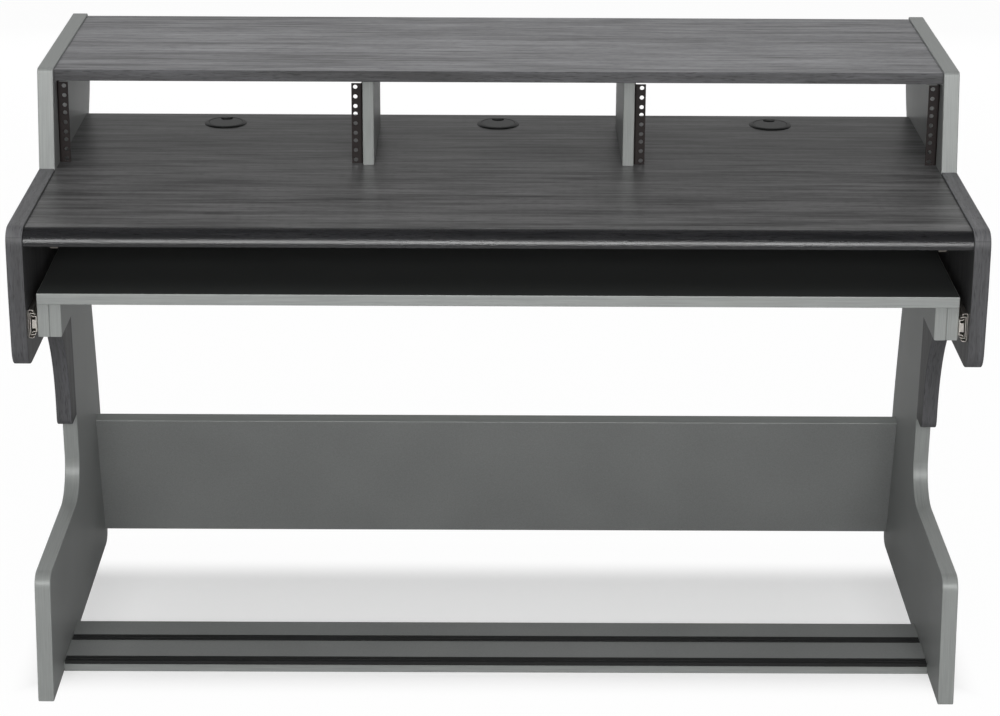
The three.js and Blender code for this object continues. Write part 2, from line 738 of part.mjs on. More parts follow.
// Two rows of balls held by the fingers of a pressed strip, between two members of a slide.
function cageGeometry(side, ballCentre, ballRadius, webX) {
  const fingerZ = ballCentre.y + ballRadius / 2;
  const strip = sheetOutline([
    point(ballCentre.x - ballRadius / 2, -fingerZ),
    point(webX, -fingerZ),
    point(webX, fingerZ),
    point(ballCentre.x - ballRadius / 2, fingerZ),
  ], cageSheet);
  const across = strip.map(({ x, y }) => point(side * (halfInside - x), y + slideZ));
  const middleY = slideY + slideLength / 2;
  const pressed = sectionAlongY(new THREE.Shape(across), middleY + cageLength / 2, cageLength);
  let cage = solidOf(pressed);
  const pitch = cageLength / ballsPerRow;
  for (const end of ends) {
    for (let index = 0; index < ballsPerRow; index += 1) {
      const ball = new THREE.SphereGeometry(ballRadius, 7, 5);
      const ballY = middleY + (index - (ballsPerRow - 1) / 2) * pitch;
      ball.translate(side * (halfInside - ballCentre.x), ballY, slideZ + end * ballCentre.y);
      cage = cage.add(solidOf(ball));
    }
  }
  return geometryOf(cage);
}

function addSlides() {
  const members = { outer: outerMember(), middle: middleMember(), inner: innerMember() };
  const outerCageX = slideSheet + slideWebGap / 2;
  const innerCageX = 2 * slideSheet + slideWebGap + slideInnerGap / 2;
  for (const [sideName, side] of Object.entries(sides)) {
    for (const [memberName, half] of Object.entries(members)) {
      const outline = sheetOutline([...mirroredDown(half), ...half], slideSheet);
      const across = outline.map(({ x, y }) => point(side * (halfInside - x), y + slideZ));
      const member = sectionAlongY(new THREE.Shape(across), slideY + slideLength, slideLength);
      const finished = memberName === 'inner' ? withEndTab(member, side) : member;
      place(`slide_${memberName}_${sideName}`, finished, finishes.zincSteel);
    }
    const outerCage = cageGeometry(side, outerBallCentre, outerBallRadius, outerCageX);
    place(`ball_cage_outer_${sideName}`, outerCage, finishes.ballSteel);
    const innerCage = cageGeometry(side, innerBallCentre, innerBallRadius, innerCageX);
    place(`ball_cage_inner_${sideName}`, innerCage, finishes.ballSteel);
  }
}

addSides();
addDesktop();
addRack();
addModestyPanel();
addFootBar();
addGrommets();
addTray();
addSlides();

export default desk;
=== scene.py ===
import json
import math

import bmesh
import bpy
from mathutils import Matrix, Vector


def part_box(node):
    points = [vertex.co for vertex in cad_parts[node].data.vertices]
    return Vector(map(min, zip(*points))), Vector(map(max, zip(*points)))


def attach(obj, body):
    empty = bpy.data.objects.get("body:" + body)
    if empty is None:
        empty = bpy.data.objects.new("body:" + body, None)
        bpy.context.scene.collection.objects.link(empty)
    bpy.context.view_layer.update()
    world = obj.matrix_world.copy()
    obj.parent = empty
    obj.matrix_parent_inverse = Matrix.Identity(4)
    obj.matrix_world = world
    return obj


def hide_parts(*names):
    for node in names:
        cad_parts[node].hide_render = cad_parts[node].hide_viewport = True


# A studio desk with rack bays over its desktop and a keyboard tray on telescopic slides under it.
# Metres, in the frame's own axes: X across the desk, Y from its front to its back, Z up.

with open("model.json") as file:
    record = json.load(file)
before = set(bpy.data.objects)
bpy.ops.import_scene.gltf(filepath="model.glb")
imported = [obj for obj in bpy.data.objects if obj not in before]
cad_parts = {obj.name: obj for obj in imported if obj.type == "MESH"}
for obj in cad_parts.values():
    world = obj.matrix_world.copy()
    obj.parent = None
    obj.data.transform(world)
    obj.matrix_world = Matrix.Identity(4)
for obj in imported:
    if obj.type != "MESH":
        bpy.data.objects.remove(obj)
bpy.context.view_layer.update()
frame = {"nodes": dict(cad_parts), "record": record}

MM = 0.001
QUARTER_TURN = math.pi / 2
SIDES = {"left": -1, "right": 1}
BODIES = frame["record"]["behaviour"]["bodies"]
BODY_OF = {node: body for body, nodes in BODIES.items() for node in nodes}


# The camera, at the photograph's viewing angle

CAMERA_PLACE = (-12.81 * MM, -4258.83 * MM, 2023.61 * MM)
CAMERA_DOWN = math.radians(17.83)
CAMERA_YAW = math.radians(-0.22)
CAMERA_ROLL = math.radians(0.30)
SENSOR_WIDTH = 36.0
FOCAL_LENGTH = 99.01
CAMERA_SHIFT = -0.1


def make_camera():
    data = bpy.data.cameras.new("camera")
    data.sensor_fit = "HORIZONTAL"
    data.sensor_width = SENSOR_WIDTH
    data.lens = FOCAL_LENGTH
    data.shift_y = CAMERA_SHIFT
    camera = bpy.data.objects.new("camera", data)
    turn = Matrix.Rotation(CAMERA_YAW, 4, "Z") @ Matrix.Rotation(QUARTER_TURN - CAMERA_DOWN, 4, "X")
    roll = Matrix.Rotation(CAMERA_ROLL, 4, "Z")
    camera.matrix_world = Matrix.Translation(CAMERA_PLACE) @ turn @ roll
    bpy.context.scene.collection.objects.link(camera)
    bpy.context.scene.camera = camera


# Nodes of the materials

PATTERN_SPAN = (0.25, 0.75)     # the levels that nearly all of a noise pattern lies between
TONE_SPAN = (0.3, 0.7)          # the levels that take a material's dark and light tones
WOOD_TONE_SPAN = (0.36, 0.64)
RUBBER_TONE_SPAN = (0.35, 0.7)
PORE_SPAN = (0.3, 0.44)         # the levels between the bottom of a pore and the face round it
PORE_SHADE = 0.45               # how much of its colour the bottom of a pore keeps
STREAK_LENGTH_MM = 190
BAND_LENGTH_MM = 620
BAND_STREAKS = 3.5              # how many streaks wide a tone band is
PORE_LENGTH_MM = 16
BAND_SHARE = 0.35               # of the wood's tone, where the streaks have the rest
PORE_RELIEF = 0.6               # the share of the pores in the wood's relief
CLOUD_SHARE = 0.3               # of the broad clouds in the melamine's tone
DUST_SHARE = 0.4                # of the dust in the rubber's tone
# The sockets of a Mix node, whose names repeat
FACTOR, LEVEL_A, LEVEL_B, COLOUR_A, COLOUR_B, MIXED_COLOUR = 0, 2, 3, 6, 7, 2


def srgb(code):
    """A linear colour from its sRGB hex code."""
    channels = [int(code[start:start + 2], 16) / 255 for start in (1, 3, 5)]
    linear = [c / 12.92 if c <= 0.04045 else ((c + 0.055) / 1.055) ** 2.4 for c in channels]
    return (*linear, 1.0)


def tones(dark, light, span=TONE_SPAN):
    """The stops of a ramp from a dark to a light colour, each given as its sRGB hex code."""
    return [(span[0], srgb(dark)), (span[1], srgb(light))]


def add_node(tree, kind, inputs=None, stops=(), **settings):
    """Adds a node with its own settings, values or links for its sockets, and the stops of its ramp."""
    made = tree.nodes.new(kind)
    for name, value in settings.items():
        setattr(made, name, value)
    for name, value in (inputs or {}).items():
        if isinstance(value, bpy.types.NodeSocket):
            tree.links.new(value, made.inputs[name])
        else:
            made.inputs[name].default_value = value
    for count, (place, colour) in enumerate(stops):
        made.color_ramp.elements[count].position = place
        made.color_ramp.elements[count].color = colour
    return made


def new_tree(name):
    material = bpy.data.materials.new(name)
    material.use_nodes = True
    material.node_tree.nodes.clear()
    return material, material.node_tree


def pattern(tree, grain_mm, detail=2.0, roughness=0.5, distortion=0.0):
    """Noise in Object coordinates. Its grain has a real size in millimetres along X, Y and Z."""
    place = add_node(tree, "ShaderNodeTexCoord")
    mapped = add_node(tree, "ShaderNodeMapping", {
        "Vector": place.outputs["Object"], "Scale": [1 / (size * MM) for size in grain_mm]})
    noise = add_node(tree, "ShaderNodeTexNoise", {
        "Vector": mapped.outputs[0], "Scale": 1.0, "Detail": detail, "Roughness": roughness,
        "Distortion": distortion})
    return noise.outputs["Fac"]


def finish_surface(tree, colour, sheen, rough_range, height, height_mm, bump=1.0, **fixed):
    """The shader of a material. Its roughness goes from the first to the second value of a range as
    its sheen pattern rises, and its bump has a real height in millimetres."""
    roughness = add_node(tree, "ShaderNodeMapRange", {
        "Value": sheen, "From Min": PATTERN_SPAN[0], "From Max": PATTERN_SPAN[1],
        "To Min": rough_range[0], "To Max": rough_range[1]})
    relief = add_node(tree, "ShaderNodeBump", {
        "Height": height, "Distance": height_mm * MM, "Strength": bump})
    shader = add_node(tree, "ShaderNodeBsdfPrincipled", {
        "Base Color": colour, "Roughness": roughness.outputs[0], "Normal": relief.outputs["Normal"],
        **fixed})
    add_node(tree, "ShaderNodeOutputMaterial", {"Surface": shader.outputs[0]})


# Materials, each named for what it is and how its surface was made

def pressed_melamine(name, dark, light, rough=0.4, metallic=0.2):
    """Melamine laminate, hot pressed. A metallic decor paper gives the boards a fine sparkle under a
    satin skin, and the tray's plain paper has a matt one; the tray top's dark tone is painted shade.
    The
    0.8 mm pigment is drawn at 2.4 mm so that it shows."""
    material, tree = new_tree(name)
    sparkle = pattern(tree, (2.4, 2.4, 2.4), detail=3.0, roughness=0.7)
    cloud = pattern(tree, (130, 130, 130), detail=1.0)
    tone = add_node(
        tree, "ShaderNodeMix", {FACTOR: CLOUD_SHARE, LEVEL_A: sparkle, LEVEL_B: cloud},
        data_type="FLOAT")
    ramp = add_node(tree, "ShaderNodeValToRGB", {"Fac": tone.outputs[0]}, stops=tones(dark, light))
    skin = pattern(tree, (1.6, 1.6, 1.6), detail=1.0)
    finish_surface(
        tree, ramp.outputs[0], sparkle, (rough, rough + 0.1), skin, height_mm=0.02, bump=0.5,
        Metallic=metallic)
    return material


def grey_edging(name, grain_mm):
    """ABS edge band in the grey of the board, extruded and scraped flush, which leaves faint lines
    along it."""
    material, tree = new_tree(name)
    lines = pattern(tree, grain_mm)
    ramp = add_node(tree, "ShaderNodeValToRGB", {"Fac": lines}, stops=tones("#929593", "#a3a6a4"))
    finish_surface(
        tree, ramp.outputs[0], lines, (0.34, 0.44), lines, height_mm=0.02, bump=0.6, Metallic=0.15)
    return material


def woodgrain(name, along, dark, light, rough, height_mm, streak_mm=9, pore_mm=0.9, **fixed):
    """Dark woodgrain, printed and embossed: long streaks, broad tone bands and short open pores, all
    along the grain."""
    material, tree = new_tree(name)

    def grain(length, width):
        return [length if lengthwise else width for lengthwise in along]

    streaks = pattern(
        tree, grain(STREAK_LENGTH_MM, streak_mm), detail=6.0, roughness=0.7, distortion=0.2)
    bands = pattern(tree, grain(BAND_LENGTH_MM, BAND_STREAKS * streak_mm), distortion=0.5)
    tone = add_node(
        tree, "ShaderNodeMix", {FACTOR: BAND_SHARE, LEVEL_A: streaks, LEVEL_B: bands},
        data_type="FLOAT")
    pores = pattern(tree, grain(PORE_LENGTH_MM, pore_mm), detail=1.0, roughness=0.4)
    ramp = add_node(
        tree, "ShaderNodeValToRGB", {"Fac": tone.outputs[0]}, stops=tones(dark, light, WOOD_TONE_SPAN))
    face = add_node(tree, "ShaderNodeMapRange", {
        "Value": pores, "From Min": PORE_SPAN[0], "From Max": PORE_SPAN[1], "To Min": PORE_SHADE})
    colour = add_node(
        tree, "ShaderNodeMix", {FACTOR: 1.0, COLOUR_A: ramp.outputs[0], COLOUR_B: face.outputs[0]},
        data_type="RGBA", blend_type="MULTIPLY")
    relief = add_node(
        tree, "ShaderNodeMix", {FACTOR: PORE_RELIEF, LEVEL_A: streaks, LEVEL_B: face.outputs[0]},
        data_type="FLOAT")
    finish_surface(
        tree, colour.outputs[MIXED_COLOUR], streaks, (rough + 0.08, rough - 0.04), relief.outputs[0],
        height_mm, **fixed)
    return material


def black_powder_coat():
    """Baked polyester powder on steel: a fine orange peel, nearly black with a brown cast."""
    material, tree = new_tree("black_powder_coat")
    grit = pattern(tree, (0.9, 0.9, 0.9), roughness=0.6)
    ramp = add_node(tree, "ShaderNodeValToRGB", {"Fac": grit}, stops=tones("#160f0e", "#221816"))
    finish_surface(tree, ramp.outputs[0], grit, (0.58, 0.72), grit, height_mm=0.05)
    return material


def zinc_plate(name, dark, light):
    """Rolled steel strip, zinc plated: a warm satin metal when bright and a soft grey when
    passivated, with fine rolling lines along the strip."""
    material, tree = new_tree(name)
    lines = pattern(tree, (0.5, 120, 0.5))
    ramp = add_node(tree, "ShaderNodeValToRGB", {"Fac": lines}, stops=tones(dark, light))
    finish_surface(
        tree, ramp.outputs[0], lines, (0.3, 0.42), lines, height_mm=0.01, bump=0.5, Metallic=1.0)
    return material


def polished_bearing_steel():
    """Hardened balls, lapped bright, in a pressed strip with a film of grease."""
    material, tree = new_tree("polished_bearing_steel")
    film = pattern(tree, (3, 3, 3))
    ramp = add_node(tree, "ShaderNodeValToRGB", {"Fac": film}, stops=tones("#a9a7a2", "#c6c5c2"))
    finish_surface(tree, ramp.outputs[0], film, (0.12, 0.28), film, height_mm=0.01, Metallic=1.0)
    return material


def moulded_abs(name, dark, light):
    """Injection-moulded ABS with a spark-eroded skin. The 0.2 mm grit is drawn at 0.6 mm so that it
    shows."""
    material, tree = new_tree(name)
    grit = pattern(tree, (0.6, 0.6, 0.6))
    ramp = add_node(tree, "ShaderNodeValToRGB", {"Fac": grit}, stops=tones(dark, light))
    finish_surface(tree, ramp.outputs[0], grit, (0.36, 0.48), grit, height_mm=0.02, IOR=1.54)
    return material


def extruded_rubber():
    """Extruded ribbed rubber: matt black, with faint lines from the die and a trace of dust."""
    material, tree = new_tree("extruded_rubber")
    lines = pattern(tree, (90, 0.7, 0.7))
    dust = pattern(tree, (6, 6, 6), detail=4.0, roughness=0.7)
    tone = add_node(
        tree, "ShaderNodeMix", {FACTOR: DUST_SHARE, LEVEL_A: lines, LEVEL_B: dust},
        data_type="FLOAT")
    ramp = add_node(
        tree, "ShaderNodeValToRGB", {"Fac": tone.outputs[0]},
        stops=tones("#101111", "#1e1f1f", RUBBER_TONE_SPAN))
    finish_surface(tree, ramp.outputs[0], dust, (0.5, 0.66), lines, height_mm=0.04, IOR=1.52)
    return material


# The axes that a grain runs along
ALONG_X = (True, False, False)
ALONG_Z = (False, False, True)
ALONG_EDGE = (False, True, True)

GREY = pressed_melamine("pearl_grey_melamine", "#868887", "#979998")
# The tray's top is the grey melamine drawn dark: painted shade from the desktop over it
TRAY_TOP_PAINTED_SHADE = pressed_melamine(
    "matt_grey_melamine_painted_shade", "#2a2c2b", "#353736", rough=0.75, metallic=0.0)
GREY_EDGE = grey_edging("grey_abs_edge_band", (0.9, 70, 70))
GREY_LONG_EDGE = grey_edging("grey_abs_edge_band_across", (70, 0.9, 0.9))
WOOD = woodgrain(
    "embossed_woodgrain_melamine", ALONG_X, "#363636", "#757575", rough=0.36, height_mm=0.05,
    streak_mm=10)
# The shelf is the desktop's woodgrain drawn lighter: painted light for the brighter sheen its top
# catches
SHELF_WOOD_PAINTED_LIGHT = woodgrain(
    "embossed_woodgrain_shelf_painted_light", ALONG_X, "#5c5c5e", "#a1a1a4", rough=0.36, height_mm=0.05,
    streak_mm=10)
WOOD_UPRIGHT = woodgrain(
    "embossed_woodgrain_upright", ALONG_Z, "#353536", "#4b4b4c", rough=0.44, height_mm=0.05)
WOOD_EDGE = woodgrain(
    "woodgrain_abs_edge_band", ALONG_EDGE, "#444445", "#5d5d60", rough=0.42, height_mm=0.04)
# The arms' upward edge faces take the edge band drawn lighter: painted light from the lamps overhead
WOOD_TOP_EDGE_PAINTED_LIGHT = woodgrain(
    "woodgrain_abs_edge_band_top_painted_light", ALONG_EDGE, "#5a5a5b", "#79797c", rough=0.42, height_mm=0.04)
WOOD_LONG_EDGE = woodgrain(
    "woodgrain_abs_edge_band_across", ALONG_X, "#454546", "#6b6b6e", rough=0.42, height_mm=0.04)
# The moulding's foil is glossier than the boards, with a lacquer of a higher IOR and deeper pores
MOULDING = woodgrain(
    "foil_wrapped_moulding", ALONG_X, "#18181a", "#2d2d2f", rough=0.26, height_mm=0.16, pore_mm=1.7,
    IOR=1.62)
POWDER = black_powder_coat()
ZINC = zinc_plate("bright_zinc_plate", "#dbd5cd", "#ece7e0")
DULL_ZINC = zinc_plate("passivated_zinc_plate", "#5f5c58", "#74716c")
BALL_STEEL = polished_bearing_steel()
# The liner's near-black is partly black plastic and partly painted shade for its shadowed front rim
RING_ABS_PAINTED_SHADE = moulded_abs("black_abs_darkened_with_painted_shade", "#0e100f", "#171918")
CAP_ABS = moulded_abs("charcoal_moulded_abs", "#2b2e2d", "#383b3a")
RUBBER = extruded_rubber()


# Shapes

MERGE = 0.005 * MM
FLAT = math.radians(0.5)
SHARP = math.radians(32)
SQUARE_ON = 0.9             # the least share of a normal along an axis that its face is square to
ROUNDED_SEGMENTS = 2
FLAT_FACE_WEIGHT = 100      # the highest, by which the largest faces alone set their corners' normals


def middle_of(node):
    """The middle of a CAD node's box."""
    low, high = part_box(node)
    return [(start + end) / 2 for start, end in zip(low, high)]


def end_x(node, direction):
    """Where a CAD node's box ends on the side that a direction along X points to."""
    low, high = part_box(node)
    return high[0] if direction > 0 else low[0]


def shape_of(node):
    """A working copy of a CAD node, with its loose triangles merged and its flat faces made whole."""
    shape = bmesh.new()
    shape.from_mesh(frame["nodes"][node].data)
    bmesh.ops.remove_doubles(shape, verts=shape.verts, dist=MERGE)
    bmesh.ops.dissolve_limit(shape, angle_limit=FLAT, verts=shape.verts, edges=shape.edges)
    return shape


def bevel_edges(shape, edges, width, segments):
    bmesh.ops.bevel(
        shape, geom=edges, offset=width, offset_type="OFFSET", segments=segments, profile=0.5,
        affect="EDGES", material=-1, clamp_overlap=True)


def soften(shape, width):
    """Rounds every sharp edge."""
    sharp = [edge for edge in shape.edges if edge.is_manifold and edge.calc_face_angle() > SHARP]
    bevel_edges(shape, sharp, width, ROUNDED_SEGMENTS)


def chamfer_ends(shape, width):
    """Cuts a chamfer round both ends of a board, which shows as a dark joint line where it meets
    the sides."""
    reach = max(vert.co.x for vert in shape.verts) - MERGE
    ends = [edge for edge in shape.edges if all(abs(vert.co.x) > reach for vert in edge.verts)]
    bevel_edges(shape, ends, width, 1)


def make_piece(shape, name, materials, body, replaced=()):
    """Makes an object from a shape: smooth shaded, with its large faces kept flat."""
    mesh = bpy.data.meshes.new(name)
    shape.to_mesh(mesh)
    shape.free()
    for material in materials:
        mesh.materials.append(material)
    mesh.shade_smooth()
    piece = bpy.data.objects.new(name, mesh)
    bpy.context.scene.collection.objects.link(piece)
    normals = piece.modifiers.new("flat faces", "WEIGHTED_NORMAL")
    normals.weight = FLAT_FACE_WEIGHT
    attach(piece, body)
    if replaced:
        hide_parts(*replaced)


# Pieces that stand in for a CAD node, with the width of their rounded edges

BOARD_ROUND = 0.4 * MM
DESKTOP_ROUND = 0.2 * MM
MOULDING_ROUND = 0.2 * MM
RUBBER_ROUND = 0.25 * MM
SLIDE_ROUND = 0.15 * MM
CAGE_ROUND = 0.1 * MM
CAP_ROUND = 0.5 * MM
RAIL_ROUND = 0.2 * MM
FOOT_BAR_CHAMFER = 1.4 * MM
ARM_PAINTED_LIGHT_FACING = 0.5        # the upward share round the arm's corners to which its top edge band, drawn lighter as painted light, goes on
X, Y, Z = range(3)


def dress(
        node, face_material, edge_material=None, across=X, width=BOARD_ROUND,
        painted_top_material=None, painted_top_facing=SQUARE_ON, end_chamfer=0.0):
    """Stands a finer piece in for a node of the same shape. Its edges are rounded. The edge band of a
    board is set apart from its faces, which lie square to the given axis, and so are its upward faces:
    the arms' top edges, drawn lighter as painted light, and the tray's top, drawn dark as painted
    shade."""
    shape = shape_of(node)
    if end_chamfer:
        chamfer_ends(shape, end_chamfer)
    soften(shape, width)
    shape.normal_update()
    materials = [face_material]
    if edge_material:
        for face in shape.faces:
            face.material_index = 0 if abs(face.normal[across]) > SQUARE_ON else 1
        materials.append(edge_material)
    # Upward faces take a copy of a material with painted light or painted shade in its colour
    if painted_top_material:
        for face in shape.faces:
            if face.normal.z > painted_top_facing:
                face.material_index = len(materials)
        materials.append(painted_top_material)
    make_piece(shape, f"{node}_finish", materials, BODY_OF[node], [node])


def make_boards():
    for side in SIDES:
        dress(f"side_panel_{side}", GREY, GREY_EDGE)
        # The arms' lighter top edges are painted light
        dress(
            f"arm_panel_{side}", WOOD_UPRIGHT, WOOD_EDGE,
            painted_top_material=WOOD_TOP_EDGE_PAINTED_LIGHT, painted_top_facing=ARM_PAINTED_LIGHT_FACING)
        dress(f"rack_divider_{side}", GREY, GREY_EDGE)
        for layer in ("outer", "inner"):
            dress(f"tray_cleat_{side}_{layer}", GREY, GREY_EDGE)
    dress("desktop", WOOD, width=DESKTOP_ROUND)
    # The shelf's lighter woodgrain is painted light
    dress("top_shelf", SHELF_WOOD_PAINTED_LIGHT, WOOD_LONG_EDGE, across=Z)
    # The tray's dark top is painted shade
    dress("keyboard_tray", GREY, GREY_LONG_EDGE, across=Z, painted_top_material=TRAY_TOP_PAINTED_SHADE)
    dress("modesty_panel", GREY, GREY_LONG_EDGE, across=Y)
    dress("foot_bar", GREY, GREY_LONG_EDGE, across=Z, end_chamfer=FOOT_BAR_CHAMFER)
    dress("front_edge_moulding", MOULDING, width=MOULDING_ROUND)
    for place in ("front", "rear"):
        dress(f"foot_strip_{place}", RUBBER, width=RUBBER_ROUND)


def make_slides():
    for side in SIDES:
        for member in ("outer", "middle", "inner"):
            dress(f"slide_{member}_{side}", ZINC, width=SLIDE_ROUND)
        for place in ("outer", "inner"):
            dress(f"ball_cage_{place}_{side}", BALL_STEEL, width=CAGE_ROUND)


# Rack rails, bent from sheet, with their punched holes

RAIL_SHEET = 2 * MM
RAIL_FLANGE = 18 * MM
RAIL_BEND = 3.5 * MM
RAIL_BEND_STEPS = 6
RAIL_HOLE_RADIUS = 3.5 * MM
RAIL_HOLE_SIDES = 28
RAIL_HOLE_INSET = 11.7 * MM
RAIL_FIRST_HOLE = 5.925 * MM
RAIL_HOLE_PITCH = 15.875 * MM
HOLES_PER_UNIT = 3
RACK_UNIT = 44.45 * MM
RACK_UNITS = 3


def make_rail(node, direction):
    """Makes an angle rail from its outer skin. Its holed flange points in a direction along X."""
    low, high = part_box(node)
    board_x = end_x(node, -direction)
    front_y = low[1]
    bend_x = board_x + direction * RAIL_BEND
    flange_x = board_x + direction * RAIL_FLANGE
    shape = bmesh.new()
    corners = [shape.verts.new((x, front_y, z)) for x, z in (
        (bend_x, low[2]), (flange_x, low[2]), (flange_x, high[2]), (bend_x, high[2]))]
    for start in range(len(corners)):
        shape.edges.new((corners[start - 1], corners[start]))
    bend_edge = shape.edges.get((corners[3], corners[0]))
    upright = Matrix.Rotation(QUARTER_TURN, 4, "X")
    for unit in range(RACK_UNITS):
        for hole in range(HOLES_PER_UNIT):
            z = low[2] + RAIL_FIRST_HOLE + unit * RACK_UNIT + hole * RAIL_HOLE_PITCH
            place = Matrix.Translation((board_x + direction * RAIL_HOLE_INSET, front_y, z))
            bmesh.ops.create_circle(
                shape, segments=RAIL_HOLE_SIDES, radius=RAIL_HOLE_RADIUS, matrix=place @ upright)
    bmesh.ops.triangle_fill(shape, edges=shape.edges[:], use_beauty=True, normal=(0, -1, 0))
    bent = bmesh.ops.spin(
        shape, geom=[bend_edge], cent=(bend_x, front_y + RAIL_BEND, 0), axis=(0, 0, 1),
        angle=-direction * QUARTER_TURN, steps=RAIL_BEND_STEPS)["geom_last"]
    last = [part for part in bent if isinstance(part, bmesh.types.BMEdge)]
    drawn = bmesh.ops.extrude_edge_only(shape, edges=last)["geom"]
    drawn_verts = [part for part in drawn if isinstance(part, bmesh.types.BMVert)]
    bmesh.ops.translate(shape, verts=drawn_verts, vec=(0, RAIL_FLANGE - RAIL_BEND, 0))
    bmesh.ops.recalc_face_normals(shape, faces=shape.faces)
    shape.normal_update()
    front = max(shape.faces, key=lambda face: abs(face.normal.y))
    if front.normal.y > 0:
        bmesh.ops.reverse_faces(shape, faces=shape.faces)
    bmesh.ops.solidify(shape, geom=shape.faces[:], thickness=RAIL_SHEET)
    soften(shape, RAIL_ROUND)
    make_piece(shape, f"{node}_bent", [POWDER], "root", [node])


# Screws and connectors: a profile of radius and height, in millimetres, and a cross recess of arm
# length, half width and depth

RAIL_SCREW = [
    (0, -12), (1.9, -10.1), (1.9, 0), (4, 0), (4, 0.8), (3.8, 1.35), (3.3, 1.8), (2.6, 2.1),
    (2.1, 2.2)]
RAIL_SCREW_CROSS = (1.7, 0.45, 1.2)
CONNECTOR = [
    (0, -3), (8.5, -3), (8.5, -0.5), (8.2, -0.1), (7.8, 0), (6.4, 0), (6.1, -0.5), (4.6, -0.5)]
CONNECTOR_CROSS = (3.7, 1.0, 1.4)
PLATE_SCREW = [(0, 0), (3.3, 0), (3.3, 0.5), (3.1, 1.0), (2.6, 1.35), (1.9, 1.5)]
PLATE_SCREW_CROSS = (1.5, 0.4, 0.9)
PLATE_SCREW_SHARES = {"front": 0.2, "rear": 0.8}    # of the plate's length
CROSS_TAPER = 0.7
HEAD_STEPS = 32


def turned(shape, profile_mm, steps):
    """Spins a profile all the way round Z. Returns the open edge loop that its last point leaves."""
    points = [shape.verts.new((radius * MM, 0, height * MM)) for radius, height in profile_mm]
    edges = [shape.edges.new(pair) for pair in zip(points, points[1:])]
    bmesh.ops.spin(
        shape, geom=points + edges, cent=(0, 0, 0), axis=(0, 0, 1), angle=2 * math.pi, steps=steps,
        use_merge=True)
    bmesh.ops.remove_doubles(shape, verts=shape.verts, dist=MERGE)
    return [edge for edge in shape.edges if edge.is_boundary]


def sink_cross(shape, rim, arm, half_width, height, depth):
    """Closes a top with a cross recess: a tapered pocket in the shape of a plus sign."""
    places = []
    for turn in range(4):
        for x, y in ((arm, -half_width), (arm, half_width), (half_width, half_width)):
            places.append(Matrix.Rotation(turn * QUARTER_TURN, 3, "Z") @ Vector((x, y, height)))
    cross = [shape.verts.new(place) for place in places]
    mouth = [shape.edges.new((cross[start - 1], cross[start])) for start in range(len(cross))]
    bmesh.ops.triangle_fill(shape, edges=rim + mouth, use_beauty=True, normal=(0, 0, 1))
    walls = bmesh.ops.extrude_edge_only(shape, edges=mouth)["geom"]
    floor_verts = [part for part in walls if isinstance(part, bmesh.types.BMVert)]
    floor_edges = [
        part for part in walls if isinstance(part, bmesh.types.BMEdge) and part.is_boundary]
    bmesh.ops.scale(shape, verts=floor_verts, vec=(CROSS_TAPER, CROSS_TAPER, 1))
    bmesh.ops.translate(shape, verts=floor_verts, vec=(0, 0, -depth))
    bmesh.ops.triangle_fill(shape, edges=floor_edges, use_beauty=True, normal=(0, 0, 1))


def make_turned_head(name, profile_mm, cross_mm, seat, outward, replaced=()):
    """Makes a zinc plated head with a cross recess, on a seat, facing outward."""
    shape = bmesh.new()
    rim = turned(shape, profile_mm, HEAD_STEPS)
    arm, half_width, depth = (size * MM for size in cross_mm)
    sink_cross(shape, rim, arm, half_width, profile_mm[-1][1] * MM, depth)
    bmesh.ops.recalc_face_normals(shape, faces=shape.faces)
    turn = Vector(outward).to_track_quat("Z", "Y").to_matrix().to_4x4()
    bmesh.ops.transform(shape, matrix=Matrix.Translation(seat) @ turn, verts=shape.verts)
    make_piece(shape, name, [ZINC], "root", replaced)


def make_small_parts():
    head_height = RAIL_SCREW[-1][1] * MM
    for side, way in SIDES.items():
        for place, direction in (("outer", -way), ("inner", way)):
            make_rail(f"rack_rail_{side}_{place}", direction)
            for count in (1, 2):
                node = f"rail_screw_{side}_{place}_{count}"
                _, y, z = middle_of(node)
                seat = (end_x(node, direction) - direction * head_height, y, z)
                make_turned_head(
                    f"{node}_head", RAIL_SCREW, RAIL_SCREW_CROSS, seat, (direction, 0, 0), [node])
        for count in (1, 2):
            node = f"joint_connector_{side}_{count}"
            _, y, z = middle_of(node)
            seat = (end_x(node, -way), y, z)
            make_turned_head(f"{node}_cam", CONNECTOR, CONNECTOR_CROSS, seat, (-way, 0, 0), [node])
        plate = f"moulding_plate_{side}"
        dress(plate, DULL_ZINC)
        low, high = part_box(plate)
        for place, share in PLATE_SCREW_SHARES.items():
            seat = (middle_of(plate)[0], low[1] + share * (high[1] - low[1]), low[2])
            make_turned_head(
                f"plate_screw_{side}_{place}", PLATE_SCREW, PLATE_SCREW_CROSS, seat, (0, 0, -1))


# Cable grommets: the liner's profile of radius and height, in millimetres, with the desktop's face
# at zero

GROMMET_LINER = [
    (25.5, -0.3), (25.5, -2.3), (28.2, -3.65), (28.2, -18), (29.7, -18), (29.7, 0), (35.5, 0),
    (35.5, 0.5), (35.2, 0.85), (34.4, 1.35), (33.2, 1.85), (31.8, 2.2), (30.4, 2.38), (29.2, 2.4),
    (28.5, 2.3), (28.2, 1.95), (28.2, -0.3)]
LINER_STEPS = 72


def make_grommets():
    for bay in ("left", "centre", "right"):
        node = f"grommet_liner_{bay}"
        shape = bmesh.new()
        turned(shape, GROMMET_LINER + GROMMET_LINER[:1], LINER_STEPS)
        bmesh.ops.recalc_face_normals(shape, faces=shape.faces)
        x, y, _ = middle_of(node)
        bmesh.ops.translate(shape, verts=shape.verts, vec=(x, y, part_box("desktop")[1][2]))
        # The liner's near-black is partly painted shade
        make_piece(shape, f"{node}_ring", [RING_ABS_PAINTED_SHADE], "root", [node])
        dress(f"grommet_cap_{bay}", CAP_ABS, width=CAP_ROUND)


